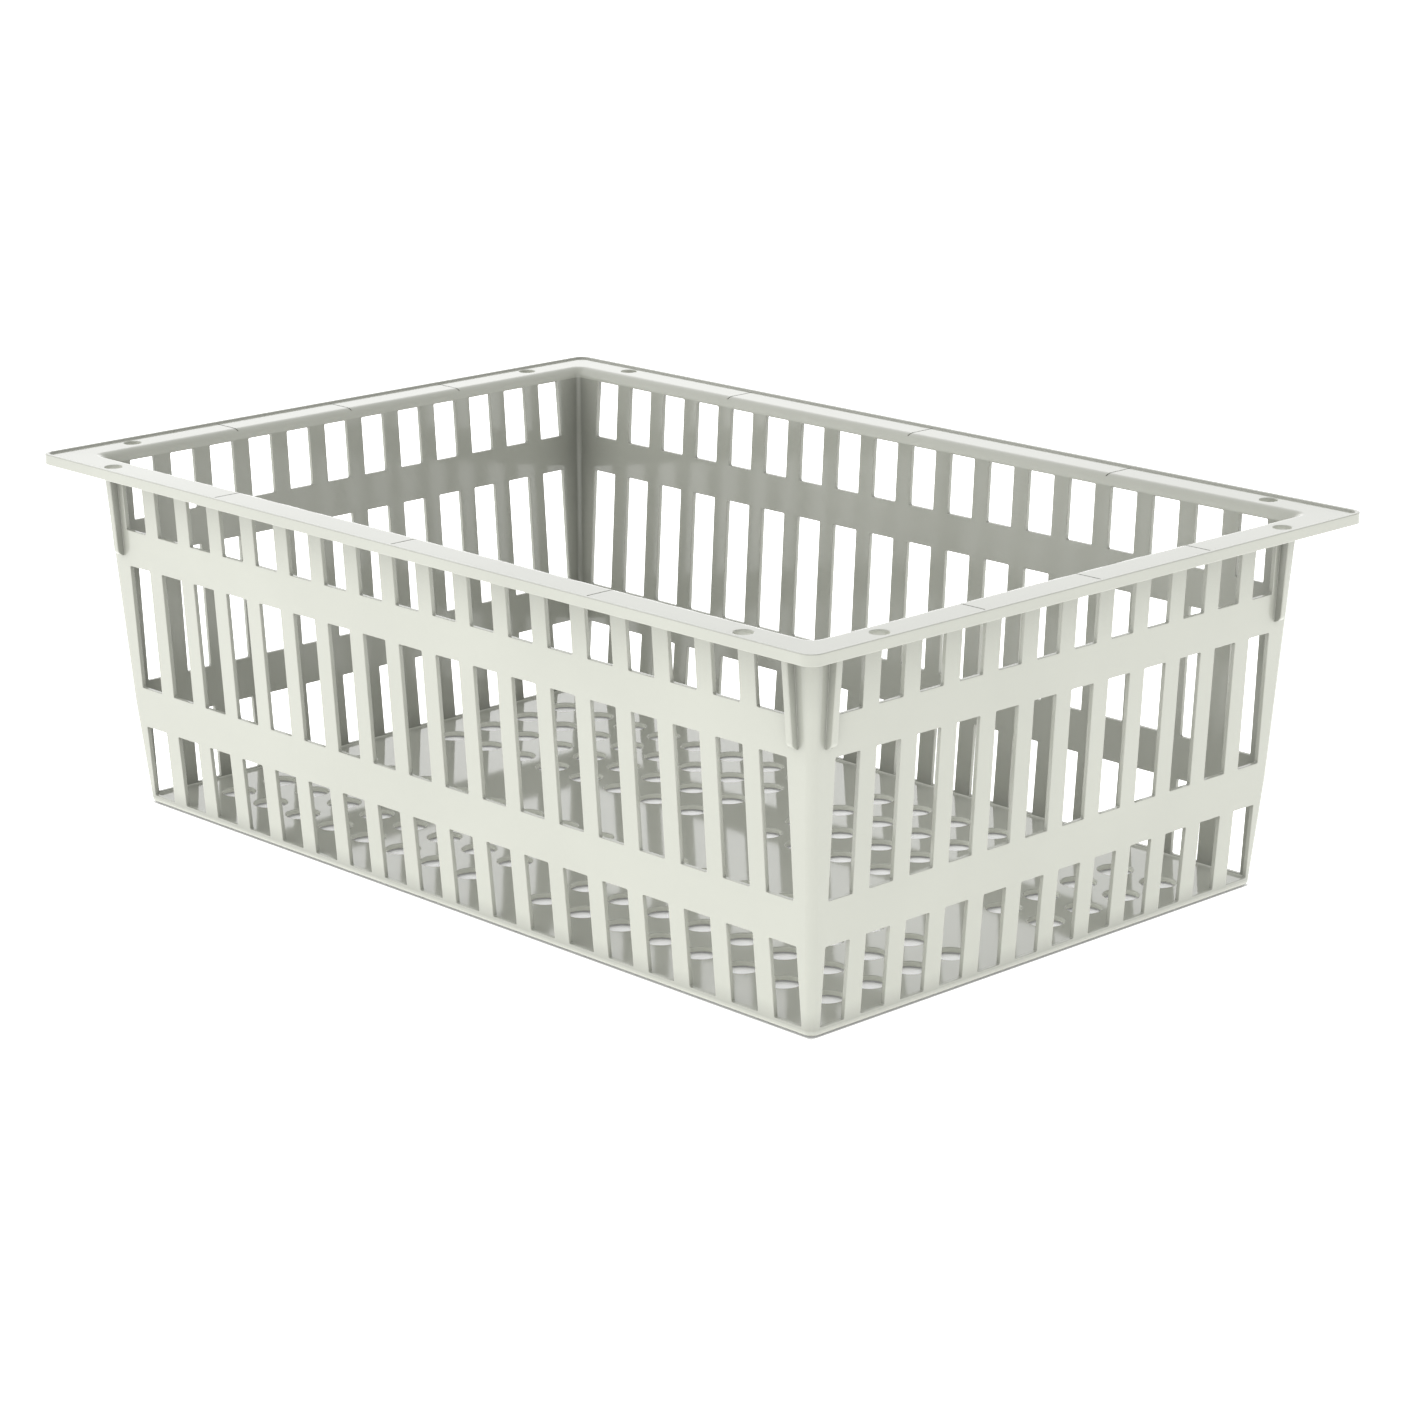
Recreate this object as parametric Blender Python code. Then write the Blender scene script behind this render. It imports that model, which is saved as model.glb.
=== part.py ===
"""Open-top slotted plastic basket with a wide hanging flange, 600 x 400 x 200 mm.

Metres, +Z up. X runs along the long side, Y along the short side, and the origin is the
centre of the footprint at the height of the surface that the basket stands on.

The real basket is one injection moulding. Its members (floor, slotted walls, corner posts,
gusset fins, flange rails and flange corners) are modelled as separate closed solids that
meet with a small parting gap.
"""

import bpy
import bmesh
from math import cos, pi, radians, sin

# ---- overall size ---------------------------------------------------------------------
LENGTH = 0.600            # over the flange, X
WIDTH = 0.400             # over the flange, Y
HEIGHT = 0.200            # base to the top of the flange lip
GAP = 0.0003              # parting gap between neighbouring members

# ---- tapered body ---------------------------------------------------------------------
BASE_HALF_X = 0.2635      # outer face of an end wall at the base
BASE_HALF_Y = 0.1631      # outer face of a long wall at the base
WALL = 0.0025             # wall thickness
KINK_Z = 0.0593           # height where the taper gets steeper
LOWER_TAPER = 0.0865      # outward run per unit of height, below the kink
UPPER_TAPER = 0.0633      # outward run per unit of height, above the kink
POST_RADIUS = 0.0050      # outer radius of the vertical corners
BODY_BOTTOM = 0.0         # underside of the walls and the floor
BODY_TOP = 0.1932         # top of the walls and posts, just under the flange

# ---- slots ----------------------------------------------------------------------------
LONG_PITCH = 0.02918      # slot spacing on the long walls
LONG_COUNT = 18
LONG_SLOT = 0.0181        # slot width on the long walls
SHORT_PITCH = 0.0272
SHORT_COUNT = 12
SHORT_SLOT = 0.0161
LOW_ROW = (0.0044, 0.0452)        # bottom and top of the lowest row of slots
MIDDLE_ROW = (0.0683, 0.1388)
TOP_ROW_BOTTOM = 0.1596           # the top row runs up to the flange

# ---- flange ---------------------------------------------------------------------------
FLANGE_DECK = 0.1990      # height of the flat deck
FLANGE_UNDER = 0.1958     # underside of the deck
SKIRT_BOTTOM = 0.1942     # lower edge of the outer skirt
SKIRT_THICK = 0.0022
LIP_WIDTH = 0.0026        # raised lip round the outer edge
LIP_ROUND = 0.0005
FLANGE_BOTTOM = BODY_TOP + GAP
ROLL_RADIUS = FLANGE_DECK - FLANGE_BOTTOM   # rolled inner edge, from the wall to the deck
OUTER_CORNER = 0.0075     # plan radius of the outer corners
RAIL_CLEAR = 0.0090       # from a wall's outer top corner to the end of a rail
HOLE_DIAMETER = 0.0095
HOLE_INSET = 0.0108       # from the outer edge to a hole's centre
HOLE_FROM_CORNER = 0.0545  # along the edge, from the flange's corner
HOLE_SIDES = 24
GROOVE_WIDTH = 0.0008
GROOVE_DEPTH = 0.0012
GROOVE_START = 0.45       # where a groove begins, as a share of the rolled edge
LONG_GROOVE_STEP = 5 * LONG_PITCH
SHORT_GROOVE_STEP = 3 * SHORT_PITCH

# ---- gusset fins ----------------------------------------------------------------------
FIN_THICK = 0.0040
FIN_FROM_CORNER = 0.0138  # from the body's top corner to a fin's mid-plane
FIN_TOP_REACH = 0.0050    # how far a fin stands out under the flange
FIN_LOW_REACH = 0.0042
FIN_BOTTOM = 0.1445
FIN_HEEL = 0.0035         # height of the sloped foot of a fin

# ---- floor ----------------------------------------------------------------------------
FLOOR_TOP = 0.0030
FLOOR_HOLE = 0.0190
FLOOR_PITCH = LONG_PITCH  # floor holes lie on a square grid, in step with the long walls' slots
FIRST_COLUMN = LONG_PITCH  # from the centre line to the nearest column of holes
FIRST_ROW = 0.0354        # from the centre line to the nearest row of holes
FLOOR_COLUMNS = 8         # hole columns on each side of the plain middle strip
FLOOR_ROWS = 4
FLOOR_HOLE_SIDES = 20

CORNER_STEPS = 5
CUT_OVERRUN = 0.0015      # how far a cutter passes the faces it cuts through
SMOOTH_ANGLE = radians(35)

SIDES = (("front", 0), ("right_end", 1), ("rear", 2), ("left_end", 3))
CORNERS = (("front_left", -1, -1), ("front_right", 1, -1), ("rear_right", 1, 1), ("rear_left", -1, 1))


# ---- helpers --------------------------------------------------------------------------
def clear_scene():
    for old in list(bpy.data.objects):
        bpy.data.objects.remove(old, do_unlink=True)


def plastic(name, colour, roughness):
    """A plain moulded-plastic material."""
    material = bpy.data.materials.new(name)
    material.use_nodes = True
    shader = material.node_tree.nodes["Principled BSDF"]
    shader.inputs["Base Color"].default_value = (*colour, 1.0)
    shader.inputs["Roughness"].default_value = roughness
    shader.inputs["Metallic"].default_value = 0.0
    return material


def add_object(name, bm, material, smooth=False):
    """Turn a bmesh into a named object with its normals facing out."""
    bmesh.ops.recalc_face_normals(bm, faces=bm.faces)
    mesh = bpy.data.meshes.new(name)
    bm.to_mesh(mesh)
    bm.free()
    if smooth:
        mesh.shade_smooth()
        mesh.set_sharp_from_angle(angle=SMOOTH_ANGLE)
    if material is not None:
        mesh.materials.append(material)
    obj = bpy.data.objects.new(name, mesh)
    bpy.context.scene.collection.objects.link(obj)
    return obj


def turn(point, quarter):
    """Turn a point about Z by quarter turns, so that the front side becomes another side."""
    x, y, z = point
    for _ in range(quarter):
        x, y = -y, x
    return (x, y, z)


def taper(z):
    """Outward run of the outer faces at height z."""
    return LOWER_TAPER * min(z, KINK_Z) + UPPER_TAPER * max(z - KINK_Z, 0.0)


def half_x(z):
    return BASE_HALF_X + taper(z)


def half_y(z):
    return BASE_HALF_Y + taper(z)


def face_distance(quarter, z):
    """Distance from the centre to the outer face of the wall on that side."""
    return half_y(z) if quarter % 2 == 0 else half_x(z)


def loft(bm, loops, closed_path=False):
    """Skin equal loops of points in order, and cap the ends unless the path closes."""
    rings = [[bm.verts.new(p) for p in loop] for loop in loops]
    count = len(rings[0])
    pairs = list(zip(rings, rings[1:]))
    if closed_path:
        pairs.append((rings[-1], rings[0]))
    for ring_a, ring_b in pairs:
        for i in range(count):
            j = (i + 1) % count
            bm.faces.new((ring_a[i], ring_a[j], ring_b[j], ring_b[i]))
    if not closed_path:
        bm.faces.new(rings[0][::-1])
        bm.faces.new(rings[-1])


def cut(obj, cutter):
    """Boolean difference, kept as a modifier; the cutter stays out of the model."""
    cutter.hide_render = True
    cutter.display_type = "WIRE"
    modifier = obj.modifiers.new("cut", "BOOLEAN")
    modifier.operation = "DIFFERENCE"
    modifier.solver = "EXACT"
    modifier.object = cutter


# ---- slotted walls --------------------------------------------------------------------
def slot_edges(quarter):
    """Both edges of every slot along a wall, from one end to the other."""
    pitch, count, slot = (
        (LONG_PITCH, LONG_COUNT, LONG_SLOT) if quarter % 2 == 0 else (SHORT_PITCH, SHORT_COUNT, SHORT_SLOT)
    )
    first = -(count - 1) / 2 * pitch
    breaks = []
    for i in range(count):
        centre = first + i * pitch
        breaks += [centre - slot / 2, centre + slot / 2]
    breaks[0] += GAP
    breaks[-1] -= GAP
    return breaks


def slotted_wall(name, quarter, material):
    """A wall of bars and bands. Its end slots and its top slots are open at the edge,
    where the corner posts and the flange close them."""
    spans = slot_edges(quarter)
    levels = [
        BODY_BOTTOM, LOW_ROW[0], LOW_ROW[1], KINK_Z, MIDDLE_ROW[0], MIDDLE_ROW[1], TOP_ROW_BOTTOM, BODY_TOP,
    ]
    open_bands = {1, 4, 6}

    def solid(i, j):
        if not (0 <= i < len(spans) - 1 and 0 <= j < len(levels) - 1):
            return False
        return j not in open_bands or i % 2 == 1

    bm = bmesh.new()
    verts = {}

    def vert(i, j, depth):
        key = (i, j, depth)
        if key not in verts:
            z = levels[j]
            out = face_distance(quarter, z) - depth * WALL
            verts[key] = bm.verts.new(turn((spans[i], -out, z), quarter))
        return verts[key]

    for i in range(len(spans) - 1):
        for j in range(len(levels) - 1):
            if not solid(i, j):
                continue
            ring = ((i, j), (i + 1, j), (i + 1, j + 1), (i, j + 1))
            bm.faces.new([vert(a, b, 0) for a, b in ring])
            bm.faces.new([vert(a, b, 1) for a, b in reversed(ring)])
            neighbours = ((i, j - 1), (i + 1, j), (i, j + 1), (i - 1, j))
            for side, near in enumerate(neighbours):
                if not solid(*near):
                    a, b = ring[side], ring[(side + 1) % 4]
                    bm.faces.new((vert(*b, 0), vert(*a, 0), vert(*a, 1), vert(*b, 1)))
    return add_object(name, bm, material)


# ---- corner posts ---------------------------------------------------------------------
def corner_path(reach_x, reach_y, radius, start_x, end_y, steps=CORNER_STEPS):
    """Plan points round the +X -Y corner: straight, arc, straight."""
    centre_x = reach_x - radius
    centre_y = reach_y - radius
    points = [(start_x, -reach_y)]
    for k in range(steps + 1):
        angle = pi / 2 * k / steps
        points.append((centre_x + radius * sin(angle), -(centre_y + radius * cos(angle))))
    points.append((reach_x, -end_y))
    return points


def corner_post(name, sign_x, sign_y, material):
    """A rounded angle post that closes the end slots of two walls."""
    start_x = (LONG_COUNT - 1) / 2 * LONG_PITCH + LONG_SLOT / 2
    end_y = (SHORT_COUNT - 1) / 2 * SHORT_PITCH + SHORT_SLOT / 2
    loops = []
    for z in (BODY_BOTTOM, KINK_Z, BODY_TOP):
        outer = corner_path(half_x(z), half_y(z), POST_RADIUS, start_x, end_y)
        inner = corner_path(half_x(z) - WALL, half_y(z) - WALL, POST_RADIUS - WALL, start_x, end_y)
        loops.append([(sign_x * x, -sign_y * y, z) for x, y in outer + inner[::-1]])
    bm = bmesh.new()
    loft(bm, loops)
    return add_object(name, bm, material, smooth=True)


# ---- flange ---------------------------------------------------------------------------
def flange_profile(body_half, outer_half):
    """Closed section of the flange: (distance from the centre, height, plan corner radius)."""
    inner = body_half - WALL
    inner_radius = POST_RADIUS - WALL
    points = []
    for k in range(CORNER_STEPS + 1):
        angle = pi / 2 * k / CORNER_STEPS
        run = ROLL_RADIUS * (1 - cos(angle))
        points.append((inner + run, FLANGE_BOTTOM + ROLL_RADIUS * sin(angle), inner_radius + run))
    lip_foot = outer_half - LIP_WIDTH
    skirt_inside = outer_half - SKIRT_THICK
    lip_radius = OUTER_CORNER - LIP_WIDTH
    points += [
        (lip_foot, FLANGE_DECK, lip_radius),
        (lip_foot, HEIGHT - LIP_ROUND, lip_radius),
        (lip_foot + LIP_ROUND, HEIGHT, lip_radius + LIP_ROUND),
        (outer_half - LIP_ROUND, HEIGHT, OUTER_CORNER - LIP_ROUND),
        (outer_half, HEIGHT - LIP_ROUND, OUTER_CORNER),
        (outer_half, SKIRT_BOTTOM, OUTER_CORNER),
        (skirt_inside, SKIRT_BOTTOM, OUTER_CORNER - SKIRT_THICK),
        (skirt_inside, FLANGE_UNDER, OUTER_CORNER - SKIRT_THICK),
        (body_half, FLANGE_UNDER, POST_RADIUS),
        (body_half, FLANGE_BOTTOM, POST_RADIUS),
    ]
    return points


def rail_half(quarter):
    """Half the length of the straight flange rail on that side."""
    body = half_x(FLANGE_BOTTOM) if quarter % 2 == 0 else half_y(FLANGE_BOTTOM)
    return body - RAIL_CLEAR


def rail_cutter(name, quarter):
    """Two end holes and three narrow grooves across the deck, as one cutter."""
    out = WIDTH / 2 if quarter % 2 == 0 else LENGTH / 2
    along = LENGTH / 2 if quarter % 2 == 0 else WIDTH / 2
    step = LONG_GROOVE_STEP if quarter % 2 == 0 else SHORT_GROOVE_STEP
    body = face_distance(quarter, FLANGE_BOTTOM)
    bm = bmesh.new()
    for side in (-1, 1):
        loops = []
        for z in (FLANGE_UNDER - CUT_OVERRUN, FLANGE_DECK + CUT_OVERRUN):
            centre = (side * (along - HOLE_FROM_CORNER), -(out - HOLE_INSET))
            ring = []
            for k in range(HOLE_SIDES):
                angle = 2 * pi * k / HOLE_SIDES
                x = centre[0] + HOLE_DIAMETER / 2 * cos(angle)
                y = centre[1] + HOLE_DIAMETER / 2 * sin(angle)
                ring.append(turn((x, y, z), quarter))
            loops.append(ring)
        loft(bm, loops)
    groove_in = body - WALL + ROLL_RADIUS * GROOVE_START
    groove_out = out - LIP_WIDTH - GAP
    for centre in (-step, 0.0, step):
        loops = []
        for s in (centre - GROOVE_WIDTH / 2, centre + GROOVE_WIDTH / 2):
            corners = (
                (groove_in, FLANGE_DECK - GROOVE_DEPTH), (groove_out, FLANGE_DECK - GROOVE_DEPTH),
                (groove_out, FLANGE_DECK + CUT_OVERRUN), (groove_in, FLANGE_DECK + CUT_OVERRUN),
            )
            loops.append([turn((s, -d, z), quarter) for d, z in corners])
        loft(bm, loops)
    return add_object(name, bm, None)


def flange_rail(name, quarter, material):
    """A straight run of the flange: rolled inner edge, flat deck, raised lip and skirt."""
    outer = WIDTH / 2 if quarter % 2 == 0 else LENGTH / 2
    profile = flange_profile(face_distance(quarter, FLANGE_BOTTOM), outer)
    reach = rail_half(quarter)
    loops = [[turn((s, -d, z), quarter) for d, z, _ in profile] for s in (-reach, reach)]
    bm = bmesh.new()
    loft(bm, loops)
    rail = add_object(name, bm, material, smooth=True)
    cut(rail, rail_cutter(name + "_cutter", quarter))
    return rail


def flange_corner(name, sign_x, sign_y, material):
    """The flange carried round a corner, with each line of the section at its own radius."""
    across_x = flange_profile(half_x(FLANGE_BOTTOM), LENGTH / 2)
    across_y = flange_profile(half_y(FLANGE_BOTTOM), WIDTH / 2)
    start_x = rail_half(0) + GAP
    end_y = rail_half(1) + GAP
    paths = []
    for (reach_x, z, radius), (reach_y, _, _) in zip(across_x, across_y):
        path = corner_path(reach_x, reach_y, radius, start_x, end_y)
        paths.append([(sign_x * x, -sign_y * y, z) for x, y in path])
    loops = [list(loop) for loop in zip(*paths)]
    bm = bmesh.new()
    loft(bm, loops)
    return add_object(name, bm, material, smooth=True)


# ---- gusset fins ----------------------------------------------------------------------
def gusset_fin(name, quarter, end, material):
    """A tapering fin between the wall and the underside of the flange, near a corner."""
    corner = half_x(BODY_TOP) if quarter % 2 == 0 else half_y(BODY_TOP)
    middle = end * (corner - FIN_FROM_CORNER)
    top = FLANGE_UNDER - GAP
    heel = FIN_BOTTOM + FIN_HEEL
    outline = []
    for z, reach in ((FIN_BOTTOM, None), (top, None), (top, FIN_TOP_REACH), (heel, FIN_LOW_REACH)):
        face = face_distance(quarter, z)
        outline.append((face + (GAP if reach is None else reach), z))
    loops = []
    for s in (middle - FIN_THICK / 2, middle + FIN_THICK / 2):
        loops.append([turn((s, -d, z), quarter) for d, z in outline])
    bm = bmesh.new()
    loft(bm, loops)
    return add_object(name, bm, material)


# ---- floor ----------------------------------------------------------------------------
def floor_breaks(first, cells, edge):
    """Lines between floor cells: a plain middle strip, cells on both sides, a plain margin."""
    half = [first + FLOOR_PITCH * (k - 0.5) for k in range(cells + 1)]
    return [-edge] + [-b for b in reversed(half)] + half + [edge]


def perforated_floor(name, material):
    """A flat floor with a grid of round holes, plain along both centre lines."""
    xs = floor_breaks(FIRST_COLUMN, FLOOR_COLUMNS, half_x(BODY_BOTTOM) - WALL - GAP)
    ys = floor_breaks(FIRST_ROW, FLOOR_ROWS, half_y(BODY_BOTTOM) - WALL - GAP)
    heights = (BODY_BOTTOM, FLOOR_TOP)
    bm = bmesh.new()
    grid = [[[[bm.verts.new((x, y, z))] for y in ys] for x in xs] for z in heights]
    round_floor_corners(bm, grid)
    last_x, last_y = len(xs) - 2, len(ys) - 2
    sector = FLOOR_HOLE_SIDES // 4
    for i in range(last_x + 1):
        for j in range(last_y + 1):
            corners = ((i, j), (i + 1, j), (i + 1, j + 1), (i, j + 1))
            plain = i in (0, last_x, last_x // 2) or j in (0, last_y, last_y // 2)
            if plain:
                for layer in (0, 1):
                    bm.faces.new([vert for a, b in corners for vert in grid[layer][a][b]])
                continue
            centre_x = (xs[i] + xs[i + 1]) / 2
            centre_y = (ys[j] + ys[j + 1]) / 2
            rings = []
            for layer, z in enumerate(heights):
                ring = []
                for k in range(FLOOR_HOLE_SIDES):
                    angle = 2 * pi * k / FLOOR_HOLE_SIDES - 3 * pi / 4
                    x = centre_x + FLOOR_HOLE / 2 * cos(angle)
                    y = centre_y + FLOOR_HOLE / 2 * sin(angle)
                    ring.append(bm.verts.new((x, y, z)))
                rings.append(ring)
                for side in range(4):
                    (a, b), (c, d) = corners[side], corners[(side + 1) % 4]
                    arc = [ring[(side * sector + k) % FLOOR_HOLE_SIDES] for k in range(sector, -1, -1)]
                    bm.faces.new(grid[layer][a][b] + grid[layer][c][d] + arc)
            for k in range(FLOOR_HOLE_SIDES):
                n = (k + 1) % FLOOR_HOLE_SIDES
                bm.faces.new((rings[0][k], rings[0][n], rings[1][n], rings[1][k]))
    end_x, end_y = len(xs) - 1, len(ys) - 1
    rim = [(i, 0) for i in range(end_x)] + [(end_x, j) for j in range(end_y)]
    rim += [(i, end_y) for i in range(end_x, 0, -1)] + [(0, j) for j in range(end_y, 0, -1)]
    low, high = [[vert for a, b in rim for vert in grid[layer][a][b]] for layer in (0, 1)]
    for k in range(len(low)):
        n = (k + 1) % len(low)
        bm.faces.new((low[k], low[n], high[n], high[k]))
    return add_object(name, bm, material)


def round_floor_corners(bm, grid):
    """Swap each corner point of the floor grid for an arc that follows the corner posts."""
    radius = POST_RADIUS - WALL
    for layer in grid:
        for i, j, first in ((0, 0, pi), (-1, 0, -pi / 2), (-1, -1, 0.0), (0, -1, pi / 2)):
            corner = layer[i][j][0]
            x, y, z = corner.co
            bm.verts.remove(corner)
            centre_x = x - radius if x > 0 else x + radius
            centre_y = y - radius if y > 0 else y + radius
            angles = [first + pi / 2 * k / CORNER_STEPS for k in range(CORNER_STEPS + 1)]
            layer[i][j] = [
                bm.verts.new((centre_x + radius * cos(a), centre_y + radius * sin(a), z)) for a in angles
            ]


# ---- assembly -------------------------------------------------------------------------
def build():
    clear_scene()
    body = plastic("body_plastic", (0.78, 0.80, 0.74), 0.42)
    flange = plastic("flange_plastic", (0.80, 0.81, 0.76), 0.40)
    floor = plastic("floor_plastic", (0.74, 0.76, 0.71), 0.22)

    perforated_floor("floor_panel", floor)
    for side, quarter in SIDES:
        slotted_wall(side + "_wall", quarter, body)
        flange_rail(side + "_flange_rail", quarter, flange)
        for end, label in ((-1, "a"), (1, "b")):
            gusset_fin(side + "_gusset_" + label, quarter, end, body)
    for corner, sign_x, sign_y in CORNERS:
        corner_post(corner + "_corner_post", sign_x, sign_y, body)
        flange_corner(corner + "_flange_corner", sign_x, sign_y, flange)


build()
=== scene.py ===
"""Looks for the slotted plastic basket: rounded moulded members, plastic materials, studio and camera."""

from math import cos, pi, radians, sin

import bmesh
import bpy
from mathutils import Matrix, Vector


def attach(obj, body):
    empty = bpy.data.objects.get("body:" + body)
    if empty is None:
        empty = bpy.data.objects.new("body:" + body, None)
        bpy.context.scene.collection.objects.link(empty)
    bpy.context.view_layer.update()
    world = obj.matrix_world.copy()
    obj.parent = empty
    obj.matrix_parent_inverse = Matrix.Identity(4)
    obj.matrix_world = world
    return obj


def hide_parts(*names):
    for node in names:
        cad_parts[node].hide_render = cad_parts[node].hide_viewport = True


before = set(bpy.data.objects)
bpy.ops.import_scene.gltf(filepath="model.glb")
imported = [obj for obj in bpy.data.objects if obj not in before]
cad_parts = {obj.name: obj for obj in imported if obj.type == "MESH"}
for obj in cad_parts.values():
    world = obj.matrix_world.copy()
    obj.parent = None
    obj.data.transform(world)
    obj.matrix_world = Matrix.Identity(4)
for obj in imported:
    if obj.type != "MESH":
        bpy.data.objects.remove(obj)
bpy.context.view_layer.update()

# ---- driving sizes, in metres, as in the CAD ------------------------------------------
LENGTH = 0.600
WIDTH = 0.400
HEIGHT = 0.200

BASE_HALF_X = 0.2635
BASE_HALF_Y = 0.1631
WALL = 0.0025
KINK_Z = 0.0593
LOWER_TAPER = 0.0865
UPPER_TAPER = 0.0633
POST_RADIUS = 0.0050
BODY_BOTTOM = 0.0
BODY_TOP = 0.1932

LONG_PITCH = 0.02918
LONG_COUNT = 18
LONG_SLOT = 0.0181
SHORT_PITCH = 0.0272
SHORT_COUNT = 12
SHORT_SLOT = 0.0161
ROWS = ((0.0044, 0.0452), (0.0683, 0.1388), (0.1596, 0.1931))
ROW_BREAKS = (KINK_Z, 0.1492)      # where one row's share of the wall ends and the next starts
SLOT_CORNER = 0.0006               # corner radius of a slot
SLOT_EDGE = 0.00035                # rounding of the slot's rims
END_MARGIN = 0.00045               # wall beyond its last slot, where the corner post starts
BOTTOM_EDGE = 0.0020               # rounding of the lower outside edge

ROLL_BOTTOM = 0.1935               # where the wall rolls over into the flange
DECK = 0.1990
UNDERSIDE = 0.1958
SKIRT_BOTTOM = 0.1942
SKIRT_THICK = 0.0022
LIP_WIDTH = 0.0026
LIP_FOOT = 0.0004                  # blend between the deck and the lip
LIP_CREST = 0.0005                 # rounding of the lip
SKIRT_HEM = 0.0005                 # rounding of the skirt's lower edge
ROLL_RUN = 0.0062
OUTER_CORNER = 0.0075
RAIL_CLEAR = 0.0090
HOLE_DIAMETER = 0.0095
HOLE_EDGE = 0.0006                 # rounding of a hole's rim
HOLE_BAY = 0.003                   # rail on each side of a hole that is meshed round it
HOLE_INSET = 0.0108
HOLE_FROM_CORNER = 0.0545
GROOVE_WIDTH = 0.0008
GROOVE_DEPTH = 0.0012
LONG_GROOVE_STEP = 5 * LONG_PITCH
SHORT_GROOVE_STEP = 3 * SHORT_PITCH

FIN_THICK = 0.0040
FIN_FROM_CORNER = 0.0138
FIN_TOP_REACH = 0.0050
FIN_LOW_REACH = 0.0042
FIN_BOTTOM = 0.1442
FIN_HEEL = 0.0038
FIN_ROOT = 0.0002                  # concave blend between a fin and the wall
FIN_SINK = 0.00001                 # how far a fin's root sits inside the wall
FIN_NOSE = 0.0007                  # rounding of a fin's outer edges
FIN_ROOT_STEPS = 4
FIN_HEEL_STEPS = 6

FLOOR_TOP = 0.0030
FIRST_ROW = 0.0354
FLOOR_HOLE = 0.0190
HOLE_SIDES = 32
FLOOR_COLUMNS = 8
FLOOR_ROWS = 4
FLOOR_EDGE = 0.0005
FLOOR_FILLET = 0.0010              # concave blend between the floor and the walls

ARC = 8                            # steps in a plan corner
RIM = 3                            # steps across a rounded rim
SHARP_ANGLE = 40                   # faces that meet at more degrees than this keep a crisp edge

SIDES = (("front", 0), ("right_end", 1), ("rear", 2), ("left_end", 3))
CORNERS = (("front_left", -1, -1), ("front_right", 1, -1), ("rear_right", 1, 1), ("rear_left", -1, 1))


# ---- geometry helpers -----------------------------------------------------------------
def turn(point, quarter):
    """Turn a point about Z by quarter turns, so that the front side becomes another side."""
    x, y, z = point
    for _ in range(quarter):
        x, y = -y, x
    return (x, y, z)


def taper(z):
    return LOWER_TAPER * min(z, KINK_Z) + UPPER_TAPER * max(z - KINK_Z, 0.0)


def half_x(z):
    return BASE_HALF_X + taper(z)


def half_y(z):
    return BASE_HALF_Y + taper(z)


def face_distance(quarter, z):
    return half_y(z) if quarter % 2 == 0 else half_x(z)


def is_long(quarter):
    return quarter % 2 == 0


def arc_points(centre, radius, start, end, steps):
    """Points (a, b) on an arc, with angles in degrees."""
    points = []
    for k in range(steps + 1):
        angle = radians(start + (end - start) * k / steps)
        points.append((centre[0] + radius * cos(angle), centre[1] + radius * sin(angle)))
    return points


def skin(bm, loops, closed_loop=True, closed_path=False):
    """Quads between consecutive loops of vertices."""
    count = len(loops[0])
    pairs = list(zip(loops, loops[1:]))
    if closed_path:
        pairs.append((loops[-1], loops[0]))
    for loop_a, loop_b in pairs:
        for i in range(count if closed_loop else count - 1):
            j = (i + 1) % count
            bm.faces.new((loop_a[i], loop_a[j], loop_b[j], loop_b[i]))


def new_loop(bm, points):
    return [bm.verts.new(p) for p in points]


def finish_piece(name, bm, material, replaced):
    """Make the object, shade it, attach it to the root body and hide the CAD parts it replaces."""
    bmesh.ops.remove_doubles(bm, verts=bm.verts, dist=1e-6)
    bmesh.ops.recalc_face_normals(bm, faces=bm.faces)
    mesh = bpy.data.meshes.new(name)
    bm.to_mesh(mesh)
    bm.free()
    mesh.shade_smooth()
    mesh.set_sharp_from_angle(angle=radians(SHARP_ANGLE))
    mesh.materials.append(material)
    piece = bpy.data.objects.new(name, mesh)
    bpy.context.scene.collection.objects.link(piece)
    weighted = piece.modifiers.new("weighted_normals", "WEIGHTED_NORMAL")
    weighted.keep_sharp = True
    weighted.weight = 100
    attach(piece, "root")
    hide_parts(*replaced)
    return piece


def slot_ring(centre, half_width, low, high, corner):
    """A rounded rectangle as a loop of (t, z), anticlockwise from the lower right corner."""
    points = []
    for corner_t, corner_z, start in (
        (centre + half_width - corner, low + corner, -90),
        (centre + half_width - corner, high - corner, 0),
        (centre - half_width + corner, high - corner, 90),
        (centre - half_width + corner, low + corner, 180),
    ):
        points += arc_points((corner_t, corner_z), corner, start, start + 90, 3)
    return points


def frame_faces(bm, corners, ring):
    """Fill between a rectangle (lower right, upper right, upper left, lower left) and a ring
    that starts at the lower right and runs the same way round, quarter by quarter."""
    share = len(ring) // 4
    for k in range(4):
        here, there = corners[k], corners[(k + 1) % 4]
        inner = [ring[(k * share + i) % len(ring)] for i in range(share // 2, share + share // 2 + 1)]
        bm.faces.new([here, there] + inner[::-1])


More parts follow.
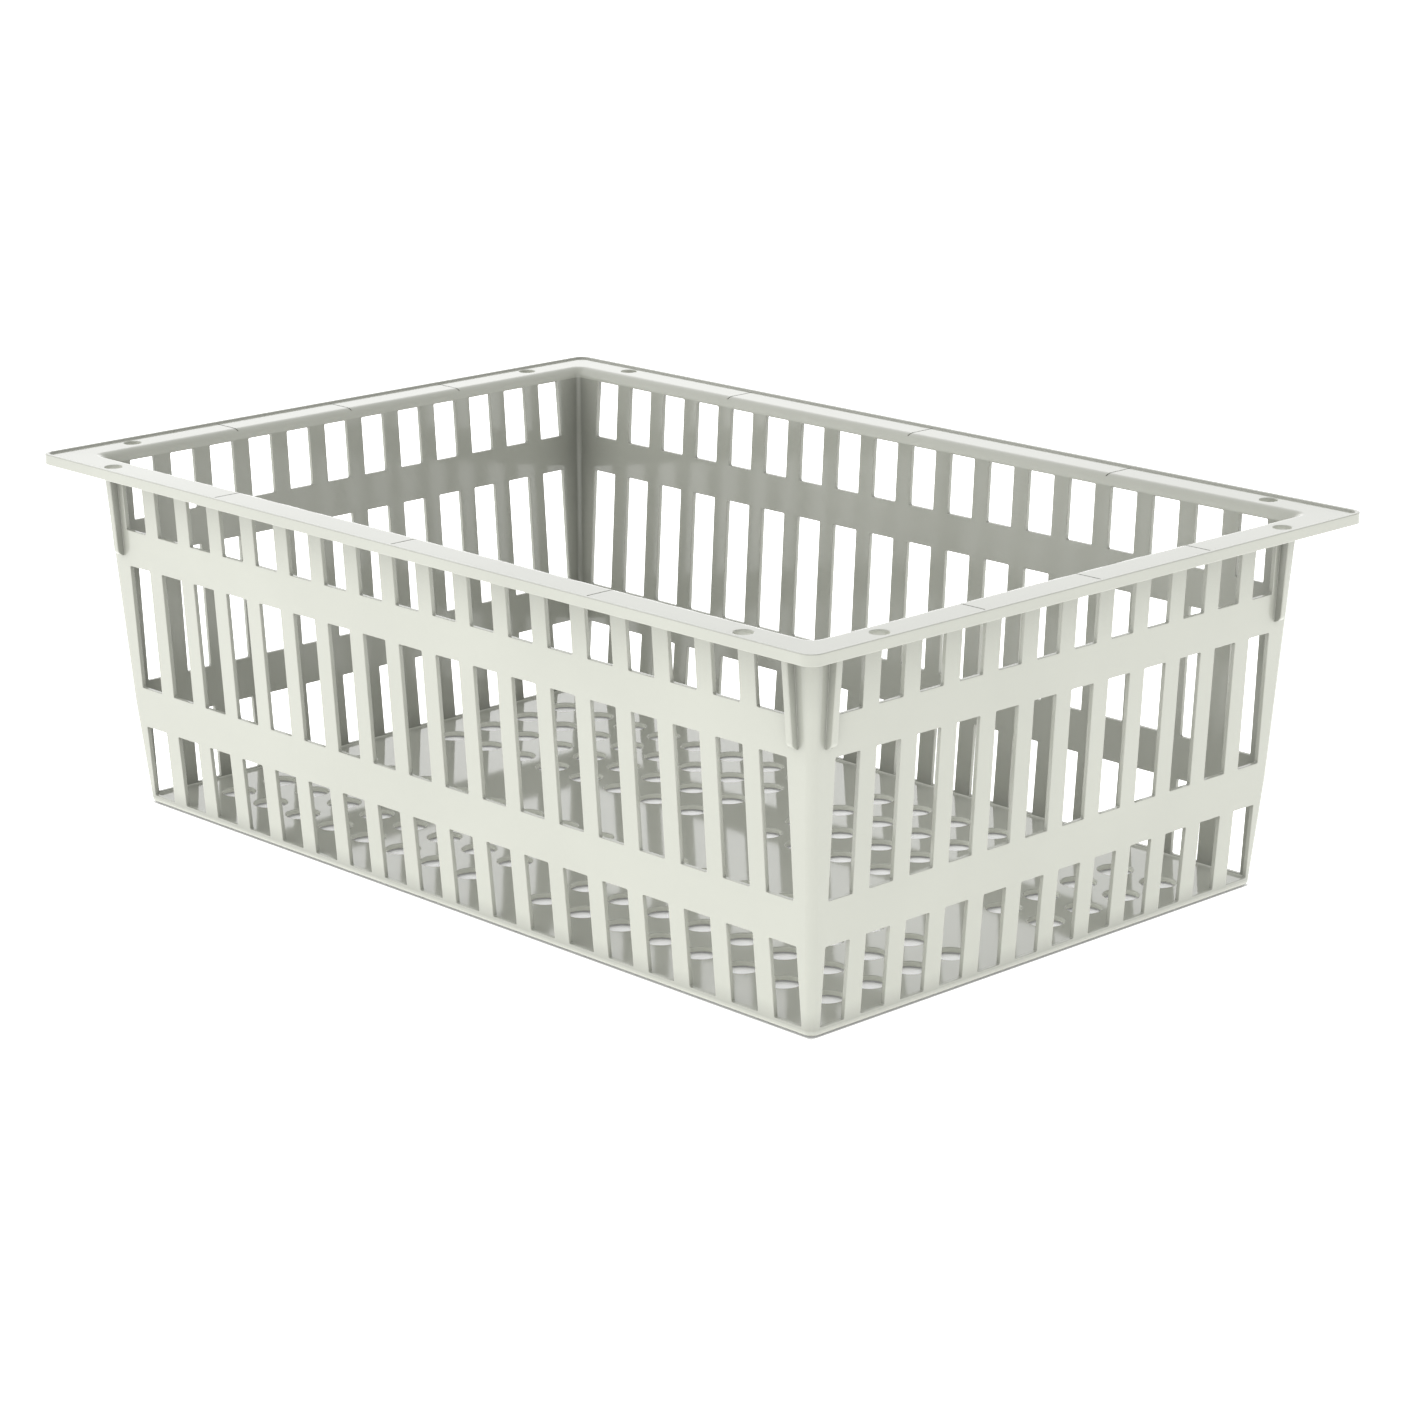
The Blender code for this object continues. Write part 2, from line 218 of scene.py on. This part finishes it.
# ---- slotted walls --------------------------------------------------------------------
def slot_cell(bm, place, centre, half_width, row, cell):
    """One slot with rounded rims, and its share of both faces of the wall.
    place(t, z, depth) gives the point at that depth behind the outer face."""
    low, high = row
    left, right, bottom, top, inner_top = cell
    levels = []
    for k in range(RIM + 1):
        angle = pi / 2 * k / RIM
        levels.append((SLOT_EDGE * (1 - sin(angle)), SLOT_EDGE * (1 - cos(angle))))
    depths = levels + [(grow, WALL - depth) for grow, depth in reversed(levels)]
    rings = []
    for grow, depth in depths:
        outline = slot_ring(centre, half_width + grow, low - grow, high + grow, SLOT_CORNER + grow)
        rings.append(new_loop(bm, [place(t, z, depth) for t, z in outline]))
    skin(bm, rings)
    for ring, depth, ceiling in ((rings[0], 0.0, top), (rings[-1], WALL, inner_top)):
        corners = new_loop(bm, [
            place(right, bottom, depth), place(right, ceiling, depth),
            place(left, ceiling, depth), place(left, bottom, depth)])
        frame_faces(bm, corners, ring)


def bottom_edge_section(quarter):
    """The rounded lower edge of a wall, as (distance from the centre, height), from outside inwards."""
    turn_z = BODY_BOTTOM + BOTTOM_EDGE
    outer = face_distance(quarter, turn_z)
    section = [(outer - BOTTOM_EDGE + d, z) for d, z in arc_points((0.0, turn_z), BOTTOM_EDGE, 0, -90, 6)]
    section.append((face_distance(quarter, BODY_BOTTOM) - WALL, BODY_BOTTOM))
    section.append((face_distance(quarter, turn_z) - WALL, turn_z))
    return section


def slotted_wall(side, quarter, material):
    pitch, count, slot = (
        (LONG_PITCH, LONG_COUNT, LONG_SLOT) if is_long(quarter) else (SHORT_PITCH, SHORT_COUNT, SHORT_SLOT)
    )
    first = -(count - 1) / 2 * pitch
    reach = -first + slot / 2 + END_MARGIN
    bm = bmesh.new()

    def place(t, z, depth):
        return turn((t, -(face_distance(quarter, z) - depth), z), quarter)

    floors = (BODY_BOTTOM + BOTTOM_EDGE, *ROW_BREAKS)
    ceilings = (*ROW_BREAKS, UNDERSIDE)
    for row, bottom, top in zip(ROWS, floors, ceilings):
        inner_top = min(top, ROLL_BOTTOM)
        for i in range(count):
            centre = first + i * pitch
            left = max(centre - pitch / 2, -reach)
            right = min(centre + pitch / 2, reach)
            slot_cell(bm, place, centre, slot / 2, row, (left, right, bottom, top, inner_top))
    edges = [-reach] + [first + (i + 0.5) * pitch for i in range(count - 1)] + [reach]
    strips = [[turn((t, -d, z), quarter) for d, z in bottom_edge_section(quarter)] for t in edges]
    skin(bm, [new_loop(bm, strip) for strip in strips], closed_loop=False)
    return finish_piece(side + "_wall_moulding", bm, material, [side + "_wall"])


# ---- corner posts ---------------------------------------------------------------------
def corner_path(reach_x, reach_y, radius, start_x, end_y):
    """Plan points round the +X -Y corner: straight, arc, straight."""
    points = [(start_x, -reach_y)]
    for k in range(ARC + 1):
        angle = pi / 2 * k / ARC
        points.append((reach_x - radius + radius * sin(angle), -(reach_y - radius + radius * cos(angle))))
    points.append((reach_x, -end_y))
    return points


def corner_post(corner, sign_x, sign_y, material):
    start_x = (LONG_COUNT - 1) / 2 * LONG_PITCH + LONG_SLOT / 2 + END_MARGIN
    end_y = (SHORT_COUNT - 1) / 2 * SHORT_PITCH + SHORT_SLOT / 2 + END_MARGIN
    turn_z = BODY_BOTTOM + BOTTOM_EDGE
    stations = [(WALL, BODY_BOTTOM, half_x(BODY_BOTTOM), half_y(BODY_BOTTOM))]
    for inset, z in arc_points((BOTTOM_EDGE, turn_z), BOTTOM_EDGE, 270, 180, 6):
        stations.append((inset, z, half_x(turn_z), half_y(turn_z)))
    for z in (KINK_Z, UNDERSIDE):
        stations.append((0.0, z, half_x(z), half_y(z)))
    stations.append((WALL, ROLL_BOTTOM, half_x(ROLL_BOTTOM), half_y(ROLL_BOTTOM)))
    stations.append((WALL, KINK_Z, half_x(KINK_Z), half_y(KINK_Z)))
    bm = bmesh.new()
    loops = []
    for inset, z, reach_x, reach_y in stations:
        path = corner_path(reach_x - inset, reach_y - inset, POST_RADIUS - inset, start_x, end_y)
        loops.append(new_loop(bm, [(sign_x * x, -sign_y * y, z) for x, y in path]))
    skin(bm, loops, closed_loop=False, closed_path=True)
    return finish_piece(corner + "_post_moulding", bm, material, [corner + "_corner_post"])


# ---- flange ---------------------------------------------------------------------------
def flange_section(body_half, outer_half):
    """The flange's section as (distance from the centre, height, plan corner radius), from the
    rolled inner edge over the deck and the lip, and back under it to the wall."""
    inner = body_half - WALL
    lip_foot = outer_half - LIP_WIDTH
    section = []
    for k in range(ARC + 1):
        angle = pi / 2 * k / ARC
        run = ROLL_RUN * (1 - cos(angle))
        rise = (DECK - ROLL_BOTTOM) * sin(angle)
        section.append((inner + run, ROLL_BOTTOM + rise, POST_RADIUS - WALL + run))

    def add(points):
        for d, z in points:
            section.append((d, z, OUTER_CORNER - (outer_half - d)))

    foot, crest, hem = LIP_FOOT, LIP_CREST, SKIRT_HEM
    skirt_inside = outer_half - SKIRT_THICK
    add(arc_points((lip_foot - foot, DECK + foot), foot, -90, 0, RIM))
    add(arc_points((lip_foot + crest, HEIGHT - crest), crest, 180, 90, RIM))
    add(arc_points((outer_half - crest, HEIGHT - crest), crest, 90, 0, RIM))
    add(arc_points((outer_half - hem, SKIRT_BOTTOM + hem), hem, 0, -90, RIM))
    add(arc_points((skirt_inside + hem, SKIRT_BOTTOM + hem), hem, -90, -180, RIM))
    add(arc_points((skirt_inside - hem, UNDERSIDE - hem), hem, 0, 90, RIM))
    wall_half = body_half + UPPER_TAPER * (UNDERSIDE - ROLL_BOTTOM)
    section.append((wall_half, UNDERSIDE, POST_RADIUS))
    return section


def deck_index():
    """Where the deck and the underside are in the section: the first point of each flat."""
    deck = ARC
    underside = ARC + 1 + 6 * (RIM + 1) - 1
    return deck, underside


def rail_half(quarter):
    return (half_x(ROLL_BOTTOM) if is_long(quarter) else half_y(ROLL_BOTTOM)) - RAIL_CLEAR


def hole_bay(bm, quarter, section, start, end, centre, distance):
    """A stretch of rail with a round hole through its deck."""
    deck, underside = deck_index()
    skip = {deck, underside}
    loops = {t: new_loop(bm, [turn((t, -d, z), quarter) for d, z, _ in section]) for t in (start, end)}
    for i in range(len(section)):
        if i not in skip:
            j = (i + 1) % len(section)
            bm.faces.new((loops[start][i], loops[start][j], loops[end][j], loops[end][i]))
    radius = HOLE_DIAMETER / 2
    rim = HOLE_EDGE
    steps = []
    for k in range(RIM + 1):
        angle = pi / 2 * k / RIM
        steps.append((radius + rim * (1 - sin(angle)), DECK - rim * (1 - cos(angle))))
    steps.append((radius, UNDERSIDE))
    rings = []
    for r, z in steps:
        outline = arc_points((centre, -distance), r, -135, 225, 32)[:-1]
        rings.append(new_loop(bm, [turn((x, y, z), quarter) for x, y in outline]))
    skin(bm, rings)
    for ring, flat in ((rings[0], deck), (rings[-1], underside)):
        far, near = sorted((section[flat], section[flat + 1]), key=lambda p: -p[0])
        rows = {section[flat][0]: flat, section[flat + 1][0]: flat + 1}
        f, n = rows[far[0]], rows[near[0]]
        corners = [loops[start][f], loops[end][f], loops[end][n], loops[start][n]]
        share = len(ring) // 4
        for k in range(4):
            arc = [ring[(k * share + i) % len(ring)] for i in range(share + 1)]
            bm.faces.new([corners[k], corners[(k + 1) % 4]] + arc[::-1])


def grooved(section):
    """The same section with the deck and the top of the roll pared down to the groove's bed."""
    deck, _ = deck_index()
    bed = DECK - GROOVE_DEPTH
    return [(d, min(z, bed) if i <= deck + 1 else z, r) for i, (d, z, r) in enumerate(section)]


def flange_rail(side, quarter, material):
    outer = (WIDTH if is_long(quarter) else LENGTH) / 2
    along = (LENGTH if is_long(quarter) else WIDTH) / 2
    step = LONG_GROOVE_STEP if is_long(quarter) else SHORT_GROOVE_STEP
    section = flange_section(face_distance(quarter, ROLL_BOTTOM), outer)
    lowered = grooved(section)
    deck, _ = deck_index()
    reach = rail_half(quarter)
    hole = along - HOLE_FROM_CORNER
    bay = HOLE_DIAMETER / 2 + HOLE_BAY
    bm = bmesh.new()

    def ring(t, shape):
        return new_loop(bm, [turn((t, -d, z), quarter) for d, z, _ in shape])

    stops = [-reach, -hole - bay, -hole + bay]
    for centre in (-step, 0.0, step):
        stops += [centre - GROOVE_WIDTH / 2, centre + GROOVE_WIDTH / 2]
    stops += [hole - bay, hole + bay, reach]
    for start, end in zip(stops, stops[1:]):
        middle = (start + end) / 2
        if abs(abs(middle) - hole) < bay / 2:
            hole_bay(bm, quarter, section, start, end, middle, outer - HOLE_INSET)
            continue
        is_groove = end - start < 2 * GROOVE_WIDTH
        shape = lowered if is_groove else section
        skin(bm, [ring(start, shape), ring(end, shape)])
        if is_groove:
            for t in (start, end):
                high, low = ring(t, section), ring(t, lowered)
                for i in range(deck + 2):
                    corners = [high[i], high[i + 1], low[i + 1], low[i]]
                    distinct = []
                    for vert in corners:
                        if all((vert.co - other.co).length > 1e-6 for other in distinct):
                            distinct.append(vert)
                    if len(distinct) > 2:
                        bm.faces.new(distinct)
    return finish_piece(side + "_flange_moulding", bm, material, [side + "_flange_rail"])


def flange_corner(corner, sign_x, sign_y, material):
    across_x = flange_section(half_x(ROLL_BOTTOM), LENGTH / 2)
    across_y = flange_section(half_y(ROLL_BOTTOM), WIDTH / 2)
    start_x, end_y = rail_half(0), rail_half(1)
    bm = bmesh.new()
    paths = []
    for (reach_x, z, radius), (reach_y, _, _) in zip(across_x, across_y):
        path = corner_path(reach_x, reach_y, max(radius, 0.0005), start_x, end_y)
        paths.append([(sign_x * x, -sign_y * y, z) for x, y in path])
    skin(bm, [new_loop(bm, loop) for loop in zip(*paths)])
    return finish_piece(
        corner + "_flange_corner_moulding", bm, material, [corner + "_flange_corner"])


# ---- gusset fins ----------------------------------------------------------------------
def fin_section(reach, root):
    """Half of a fin's level section, as (sideways, outwards), from the wall to the middle of its edge."""
    half = FIN_THICK / 2
    nose = min(FIN_NOSE, reach / 2)
    points = []
    for k in range(FIN_ROOT_STEPS + 1):
        angle = radians(90 * k / FIN_ROOT_STEPS)
        points.append((half + root - root * sin(angle), root - root * cos(angle)))
    points += arc_points((half - nose, max(reach - nose, root)), nose, 0, 90, RIM)
    return points


def gusset_fin(side, quarter, end, label, material):
    corner = half_x(BODY_TOP) if is_long(quarter) else half_y(BODY_TOP)
    middle = end * (corner - FIN_FROM_CORNER)
    heel_top = FIN_BOTTOM + FIN_HEEL
    stations = []
    for k in range(FIN_HEEL_STEPS + 1):
        angle = pi / 2 * k / FIN_HEEL_STEPS
        stations.append((heel_top - FIN_HEEL * cos(angle), FIN_LOW_REACH * sin(angle)))
    stations.append((UNDERSIDE, FIN_TOP_REACH))
    bm = bmesh.new()
    loops = []
    for z, reach in stations:
        root = min(FIN_ROOT, reach * 0.5)
        half = fin_section(reach, root)
        outline = half + [(-s, d) for s, d in reversed(half)]
        face = face_distance(quarter, z) - FIN_SINK
        loops.append(new_loop(bm, [turn((middle + s, -(face + d), z), quarter) for s, d in outline]))
    skin(bm, loops, closed_loop=False)
    name = f"{side}_gusset_{label}"
    return finish_piece(name + "_moulding", bm, material, [name])


# ---- floor ----------------------------------------------------------------------------
def floor_breaks(first, cells, edge):
    half = [first + LONG_PITCH * (k - 0.5) for k in range(cells + 1)]
    return [-edge] + [-b for b in reversed(half)] + half + [edge]


def rounded_edge(bm, grid, edge_x, edge_y):
    """The floor's edge sweeps up into the walls through a small concave blend."""
    end_x, end_y = len(grid) - 1, len(grid[0]) - 1
    rim = [(i, 0) for i in range(end_x)] + [(end_x, j) for j in range(end_y)]
    rim += [(i, end_y) for i in range(end_x, 0, -1)] + [(0, j) for j in range(end_y, 0, -1)]
    loops = [[grid[i][j] for i, j in rim]]
    for k in range(1, RIM + 2):
        angle = pi / 2 * k / (RIM + 1)
        out = FLOOR_FILLET * sin(angle)
        points = []
        for i, j in rim:
            x, y, z = grid[i][j].co
            if i in (0, end_x):
                x += out if x > 0 else -out
            if j in (0, end_y):
                y += out if y > 0 else -out
            points.append((x, y, z + FLOOR_FILLET * (1 - cos(angle))))
        loops.append(new_loop(bm, points))
    skin(bm, loops)


def perforated_floor(material):
    bm = bmesh.new()
    faces = ((BODY_BOTTOM, -1), (FLOOR_TOP, 1))
    edge_x = half_x(FLOOR_TOP) - WALL
    edge_y = half_y(FLOOR_TOP) - WALL
    xs = floor_breaks(LONG_PITCH, FLOOR_COLUMNS, edge_x - FLOOR_FILLET)
    ys = floor_breaks(FIRST_ROW, FLOOR_ROWS, edge_y - FLOOR_FILLET)
    grids = {z: [new_loop(bm, [(x, y, z) for y in ys]) for x in xs] for z, _ in faces}
    rounded_edge(bm, grids[FLOOR_TOP], edge_x, edge_y)
    last_x, last_y = len(xs) - 2, len(ys) - 2
    radius = FLOOR_HOLE / 2
    profile = []
    for k in range(RIM + 1):
        angle = pi / 2 * k / RIM
        profile.append((radius + FLOOR_EDGE * (1 - sin(angle)), FLOOR_TOP - FLOOR_EDGE * (1 - cos(angle))))
    profile += [(r, FLOOR_TOP + BODY_BOTTOM - z) for r, z in reversed(profile)]
    for i in range(last_x + 1):
        for j in range(last_y + 1):
            cell = ((i + 1, j), (i + 1, j + 1), (i, j + 1), (i, j))
            plain = i in (0, last_x, last_x // 2) or j in (0, last_y, last_y // 2)
            if plain:
                for z, _ in faces:
                    bm.faces.new([grids[z][a][b] for a, b in cell])
                continue
            centre = ((xs[i] + xs[i + 1]) / 2, (ys[j] + ys[j + 1]) / 2)
            rings = []
            for r, z in profile:
                outline = arc_points(centre, r, -45, 315, HOLE_SIDES)[:-1]
                rings.append(new_loop(bm, [(x, y, z) for x, y in outline]))
            skin(bm, rings)
            for ring, z in ((rings[0], FLOOR_TOP), (rings[-1], BODY_BOTTOM)):
                corners = [grids[z][a][b] for a, b in cell]
                share = len(ring) // 4
                for k in range(4):
                    arc = [ring[(k * share + n) % len(ring)] for n in range(share + 1)]
                    bm.faces.new([corners[k], corners[(k + 1) % 4]] + arc[::-1])
    return finish_piece("floor_moulding", bm, material, ["floor_panel"])


# ---- materials ------------------------------------------------------------------------
# The colour and these shades are tuned together with the studio, to match the photo's tones.
PLASTIC_COLOUR = (0.400, 0.408, 0.360)
BODY_ROUGHNESS = 0.10
FLOOR_ROUGHNESS = 0.06
INSIDE_PAINTED_SHADE = 0.85                # painted shade on the faces that look inwards, as a share of the colour
CREVICE_PAINTED_SHADE = 0.35               # painted shade at the bottom of a crevice, as a share of the colour
# the floor's painted crevice shade, as a share of the colour
FLOOR_CREVICE_PAINTED_SHADE = 0.85
LOW_CREVICE_REACH = 0.014          # painted shade darkens corners narrower than this, low on the body
HIGH_CREVICE_REACH = 0.040         # and under the flange
CREVICE_HEIGHTS = (0.06, 0.14)     # the reach grows between these heights
FLANGE_CREVICE_REACH = 0.004       # on the flange, painted shade darkens only its holes and grooves
HOLE_WALL_PAINTED_LIGHT = 1.5               # painted light: the walls of the floor's holes are lighter than its top
EDGE_HIGHLIGHT_BAND = 0.0032                 # height of the painted highlight band along the body's lower edge
EDGE_PAINTED_HIGHLIGHT = 1.9                    # the painted highlight's colour at the very bottom, as a lift
PLAIN = 1.0                        # a share or lift that changes nothing
DRIFT_SCALE = 9.0                  # noise scales, in cells per metre
SCUFF_SCALE = 60.0
GRAIN_SCALE = 1400.0


def moulded_plastic(name, roughness, inside_painted_shade, crevice_painted_shade, low_reach, high_reach,
                    upright_painted_light=PLAIN, edge_painted_highlight=PLAIN):
    """Off-white polypropylene: a little colour drift, a very fine grain, uneven gloss, painted shade in
    crevices and on inward faces, and optional painted light on upright faces and along the lower edge.
    """
    material = bpy.data.materials.new(name)
    material.use_nodes = True
    tree = material.node_tree
    shader = tree.nodes["Principled BSDF"]
    shader.inputs["IOR"].default_value = 1.49
    position = tree.nodes.new("ShaderNodeTexCoord")

    def noise(scale, detail):
        node = tree.nodes.new("ShaderNodeTexNoise")
        node.inputs["Scale"].default_value = scale
        node.inputs["Detail"].default_value = detail
        tree.links.new(position.outputs["Object"], node.inputs["Vector"])
        return node.outputs["Fac"]

    def ramp(source, low, high, from_min=0.3, from_max=0.7):
        node = tree.nodes.new("ShaderNodeMapRange")
        node.inputs["From Min"].default_value = from_min
        node.inputs["From Max"].default_value = from_max
        node.inputs["To Min"].default_value = low
        node.inputs["To Max"].default_value = high
        tree.links.new(source, node.inputs["Value"])
        return node.outputs["Result"]

    tint = tree.nodes.new("ShaderNodeMix")
    tint.data_type = "RGBA"
    tint.inputs["A"].default_value = (*[c * 0.97 for c in PLASTIC_COLOUR], 1.0)
    tint.inputs["B"].default_value = (*[min(c * 1.03, 1.0) for c in PLASTIC_COLOUR], 1.0)
    tree.links.new(ramp(noise(DRIFT_SCALE, 3.0), 0.0, 1.0), tint.inputs["Factor"])
    # Painted shade: faces that look inwards are darkened by the inside share.
    geometry = tree.nodes.new("ShaderNodeNewGeometry")
    outwards = tree.nodes.new("ShaderNodeVectorMath")
    outwards.operation = "DOT_PRODUCT"
    sideways = tree.nodes.new("ShaderNodeVectorMath")
    sideways.operation = "MULTIPLY"
    sideways.inputs[1].default_value = (1 / half_x(0.0), 1 / half_y(0.0), 0.0)
    tree.links.new(position.outputs["Object"], sideways.inputs[0])
    tree.links.new(sideways.outputs["Vector"], outwards.inputs[0])
    tree.links.new(geometry.outputs["Normal"], outwards.inputs[1])
    inward = tree.nodes.new("ShaderNodeMix")
    inward.data_type = "RGBA"
    inward.blend_type = "MULTIPLY"
    inward.inputs["B"].default_value = (inside_painted_shade, inside_painted_shade, inside_painted_shade, 1.0)
    tree.links.new(ramp(outwards.outputs["Value"], 1.0, 0.0, -0.6, 0.0), inward.inputs["Factor"])
    # Painted light: upright faces, such as the walls of the floor's holes, are lightened.
    upright = tree.nodes.new("ShaderNodeSeparateXYZ")
    tree.links.new(geometry.outputs["Normal"], upright.inputs["Vector"])
    steep = tree.nodes.new("ShaderNodeMath")
    steep.operation = "ABSOLUTE"
    tree.links.new(upright.outputs["Z"], steep.inputs[0])
    lifted = tree.nodes.new("ShaderNodeVectorMath")
    lifted.operation = "SCALE"
    tree.links.new(tint.outputs["Result"], lifted.inputs[0])
    tree.links.new(ramp(steep.outputs["Value"], upright_painted_light, 1.0, 0.2, 0.7), lifted.inputs["Scale"])
    tree.links.new(lifted.outputs["Vector"], inward.inputs["A"])
    # Painted shade: crevices are darkened by an ambient occlusion share.
    crevice = tree.nodes.new("ShaderNodeAmbientOcclusion")
    crevice.samples = 8
    height = tree.nodes.new("ShaderNodeSeparateXYZ")
    tree.links.new(position.outputs["Object"], height.inputs["Vector"])
    reach = ramp(height.outputs["Z"], low_reach, high_reach, *CREVICE_HEIGHTS)
    tree.links.new(reach, crevice.inputs["Distance"])
    shade = ramp(crevice.outputs["AO"], crevice_painted_shade, 1.0, 0.0, 1.0)
    creviced = tree.nodes.new("ShaderNodeVectorMath")
    creviced.operation = "SCALE"
    tree.links.new(inward.outputs["Result"], creviced.inputs[0])
    tree.links.new(shade, creviced.inputs["Scale"])
    # Painted highlight: a lighter band along the body's lower edge.
    edged = tree.nodes.new("ShaderNodeVectorMath")
    edged.operation = "SCALE"
    tree.links.new(creviced.outputs["Vector"], edged.inputs[0])
    tree.links.new(ramp(height.outputs["Z"], edge_painted_highlight, 1.0, 0.0, EDGE_HIGHLIGHT_BAND), edged.inputs["Scale"])
    tree.links.new(edged.outputs["Vector"], shader.inputs["Base Color"])
    gloss = ramp(noise(SCUFF_SCALE, 5.0), roughness * 0.88, roughness * 1.14)
    tree.links.new(gloss, shader.inputs["Roughness"])
    grain = tree.nodes.new("ShaderNodeBump")
    grain.inputs["Strength"].default_value = 0.02
    grain.inputs["Distance"].default_value = 0.0001
    tree.links.new(noise(GRAIN_SCALE, 2.0), grain.inputs["Height"])
    tree.links.new(grain.outputs["Normal"], shader.inputs["Normal"])
    return material


# ---- studio ---------------------------------------------------------------------------
DOME_LEVEL = 1.75                  # brightness of the light dome
DOME_LEAN = (-0.25, -0.05, -0.60)  # the dome is brighter low down and on the left
PAPER_GLOW = 1.15                  # the paper glows, which keeps the ground white
GLOW_IN_PAINTED_SHADOW = 0.12                  # and glows faintly under the body, a painted shadow there
PAINTED_SHADOW_EDGE = 0.997                  # the painted shadow's edge lies just inside the body's outline
PAPER_DROP = 0.0008                # gap under the body, seen as a thin dark line
PAPER_HALF = 12.0


def studio():
    scene = bpy.context.scene
    scene.view_settings.view_transform = "Standard"
    world = bpy.data.worlds.new("studio")
    scene.world = world
    world.use_nodes = True
    tree = world.node_tree
    background = tree.nodes["Background"]
    background.inputs["Color"].default_value = (1.0, 1.0, 1.0, 1.0)
    direction = tree.nodes.new("ShaderNodeTexCoord")
    side = tree.nodes.new("ShaderNodeVectorMath")
    side.operation = "DOT_PRODUCT"
    side.inputs[1].default_value = DOME_LEAN
    tree.links.new(direction.outputs["Generated"], side.inputs[0])
    level = tree.nodes.new("ShaderNodeMath")
    level.operation = "MULTIPLY_ADD"
    level.inputs[1].default_value = DOME_LEVEL
    level.inputs[2].default_value = DOME_LEVEL
    tree.links.new(side.outputs["Value"], level.inputs[0])
    tree.links.new(level.outputs["Value"], background.inputs["Strength"])

    mesh = bpy.data.meshes.new("studio_floor")
    half = PAPER_HALF
    corners = [(-half, -half, 0), (half, -half, 0), (half, half, 0), (-half, half, 0)]
    mesh.from_pydata(corners, [], [(0, 1, 2, 3)])
    floor = bpy.data.objects.new("studio_floor", mesh)
    scene.collection.objects.link(floor)
    floor.location.z = -PAPER_DROP
    paper = bpy.data.materials.new("studio_paper")
    paper.use_nodes = True
    shader = paper.node_tree.nodes["Principled BSDF"]
    shader.inputs["Base Color"].default_value = (0.9, 0.9, 0.9, 1.0)
    shader.inputs["Roughness"].default_value = 1.0
    shader.inputs["Specular IOR Level"].default_value = 0.0
    shader.inputs["Emission Color"].default_value = (1.0, 1.0, 1.0, 1.0)
    tree = paper.node_tree
    # Painted shadow: the glow drops to a faint level under the body's footprint.
    position = tree.nodes.new("ShaderNodeTexCoord")
    reach = tree.nodes.new("ShaderNodeVectorMath")
    reach.operation = "MULTIPLY"
    reach.inputs[1].default_value = (1 / half_x(0.0), 1 / half_y(0.0), 0.0)
    tree.links.new(position.outputs["Object"], reach.inputs[0])
    size_of = tree.nodes.new("ShaderNodeVectorMath")
    size_of.operation = "ABSOLUTE"
    tree.links.new(reach.outputs["Vector"], size_of.inputs[0])
    parts = tree.nodes.new("ShaderNodeSeparateXYZ")
    tree.links.new(size_of.outputs["Vector"], parts.inputs["Vector"])
    furthest = tree.nodes.new("ShaderNodeMath")
    furthest.operation = "MAXIMUM"
    tree.links.new(parts.outputs["X"], furthest.inputs[0])
    tree.links.new(parts.outputs["Y"], furthest.inputs[1])
    outside = tree.nodes.new("ShaderNodeMapRange")
    outside.inputs["From Min"].default_value = PAINTED_SHADOW_EDGE
    outside.inputs["From Max"].default_value = 1.0
    outside.inputs["To Min"].default_value = GLOW_IN_PAINTED_SHADOW
    outside.inputs["To Max"].default_value = PAPER_GLOW
    tree.links.new(furthest.outputs["Value"], outside.inputs["Value"])
    tree.links.new(outside.outputs["Result"], shader.inputs["Emission Strength"])
    mesh.materials.append(paper)


# ---- camera, solved from the photo -------------------------------------------------------
CAMERA_AZIMUTH, CAMERA_ELEVATION, CAMERA_ROLL = 46.610, 15.952, -0.360
CAMERA_PLACE = (1.4709, -1.3724, 0.6520)
CAMERA_LENS = 99.33


def camera():
    azimuth, elevation, roll = (radians(a) for a in (CAMERA_AZIMUTH, CAMERA_ELEVATION, CAMERA_ROLL))
    back = Vector((sin(azimuth) * cos(elevation), -cos(azimuth) * cos(elevation), sin(elevation)))
    right = Vector((cos(azimuth), sin(azimuth), 0.0))
    up = back.cross(right)
    rolled_right = right * cos(roll) + up * sin(roll)
    rolled_up = up * cos(roll) - right * sin(roll)
    data = bpy.data.cameras.new("camera")
    data.sensor_width = 36.0
    data.lens = CAMERA_LENS
    data.clip_end = 50.0
    eye = bpy.data.objects.new("camera", data)
    bpy.context.scene.collection.objects.link(eye)
    basis = Matrix((rolled_right, rolled_up, back)).transposed().to_4x4()
    eye.matrix_world = Matrix.Translation(CAMERA_PLACE) @ basis
    bpy.context.scene.camera = eye


def build():
    body = moulded_plastic(
        "body_plastic_look", BODY_ROUGHNESS, INSIDE_PAINTED_SHADE, CREVICE_PAINTED_SHADE,
        LOW_CREVICE_REACH, HIGH_CREVICE_REACH, edge_painted_highlight=EDGE_PAINTED_HIGHLIGHT)
    flange = moulded_plastic(
        "flange_plastic_look", BODY_ROUGHNESS, PLAIN, CREVICE_PAINTED_SHADE,
        FLANGE_CREVICE_REACH, FLANGE_CREVICE_REACH)
    base = moulded_plastic(
        "floor_plastic_look", FLOOR_ROUGHNESS, PLAIN, FLOOR_CREVICE_PAINTED_SHADE,
        LOW_CREVICE_REACH, LOW_CREVICE_REACH, upright_painted_light=HOLE_WALL_PAINTED_LIGHT)
    perforated_floor(base)
    for side, quarter in SIDES:
        slotted_wall(side, quarter, body)
        flange_rail(side, quarter, flange)
        for end, label in ((-1, "a"), (1, "b")):
            gusset_fin(side, quarter, end, label, body)
    for corner, sign_x, sign_y in CORNERS:
        corner_post(corner, sign_x, sign_y, body)
        flange_corner(corner, sign_x, sign_y, flange)


build()
studio()
camera()
